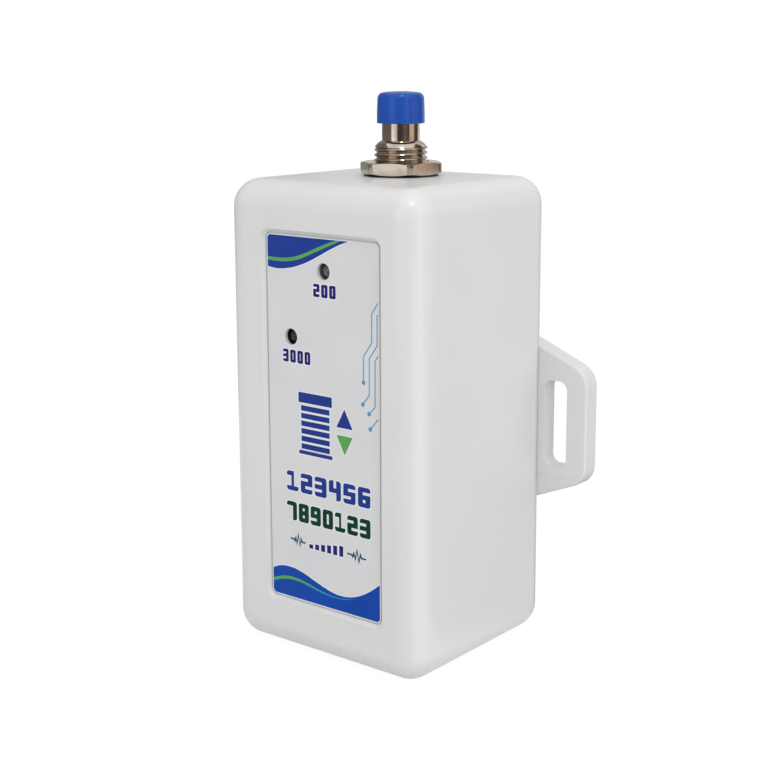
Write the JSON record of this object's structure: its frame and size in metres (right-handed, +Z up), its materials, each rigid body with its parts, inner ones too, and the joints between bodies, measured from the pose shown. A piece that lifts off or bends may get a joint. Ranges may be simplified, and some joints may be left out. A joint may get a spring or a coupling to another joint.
{
  "type": "roller shutter remote control",
  "caption": "Rounded box remote with a panel push button on top, a recessed printed label with a lamp and a recessed key, and slotted wall lugs.",
  "frame": {"origin": "middle of the box footprint, on the underside of the base", "axes": "+X to the right as the label is read, +Y from the label face to the wall, +Z up to the button"},
  "size_m": [0.0658, 0.0414, 0.1035],
  "materials": {
    "housing_plastic": "glossy moulded plastic, white",
    "label_film": "printed polyester film, silver grey ground",
    "nickel_plate": "bright nickel plate on turned metal",
    "switch_plastic": "black moulded switch plastic",
    "button_blue": "glossy blue plastic",
    "stem_plastic": "natural slippery plastic",
    "contact_brass": "stamped brass",
    "tinned_metal": "tin plated brass",
    "spring_steel": "drawn spring wire",
    "screw_steel": "zinc plated steel",
    "board_laminate": "green lacquered laminate",
    "led_lens": "milky clear lens",
    "key_plastic": "black moulded plastic",
    "chip_plastic": "black moulding compound",
    "antenna_copper": "enamelled copper wire",
    "capacitor_sleeve": "sleeved aluminium can",
    "chip_ceramic": "ceramic with tinned ends",
    "battery_casing": "lacquered sheet casing",
    "snap_plastic": "soft black plastic",
    "wire_red": "red wire insulation",
    "wire_black": "black wire insulation"
  },
  "bodies": {
    "housing": {"front_housing": "housing_plastic", "back_cover": "housing_plastic", "cover_screws": "screw_steel", "label_plate": "label_film", "push_button_nut": "nickel_plate", "push_button_bushing": "nickel_plate", "push_button_washer": "nickel_plate", "push_button_can": "switch_plastic", "push_button_base": "switch_plastic", "push_button_terminals": "tinned_metal", "push_button_spring": "spring_steel", "circuit_board": "board_laminate", "board_screws": "screw_steel", "indicator_led": "led_lens", "indicator_led_leads": "tinned_metal", "setup_key_body": "key_plastic", "setup_key_cover": "screw_steel", "setup_key_pins": "tinned_metal", "microcontroller": "chip_plastic", "microcontroller_legs": "tinned_metal", "radio_board": "board_laminate", "radio_shield": "tinned_metal", "antenna_coil": "antenna_copper", "electrolytic_capacitor": "capacitor_sleeve", "chip_resistors": "chip_plastic", "chip_capacitors": "chip_ceramic", "battery_jacket": "battery_casing", "battery_studs": "nickel_plate", "battery_snap": "snap_plastic", "battery_wire_plus": "wire_red", "battery_wire_minus": "wire_black", "button_wire_right": "wire_red", "button_wire_left": "wire_black"},
    "push_button": {"push_button_cap": "button_blue", "push_button_plunger": "stem_plastic", "push_button_contact": "contact_brass"},
    "setup_key": {"setup_key_plunger": "key_plastic"}
  },
  "joints": [
    {"name": "push_button_press", "type": "slide", "parent": "housing", "child": "push_button", "axis": [0, 0, -1], "range_m": [0, 0.0018], "stiffness_N_per_m": 800, "springref_m": -0.0015, "deforming": ["push_button_spring"]},
    {"name": "setup_key_press", "type": "slide", "parent": "housing", "child": "setup_key", "axis": [0, 1, 0], "range_m": [0, 0.00025], "stiffness_N_per_m": 4000, "springref_m": -0.00015}
  ]
}
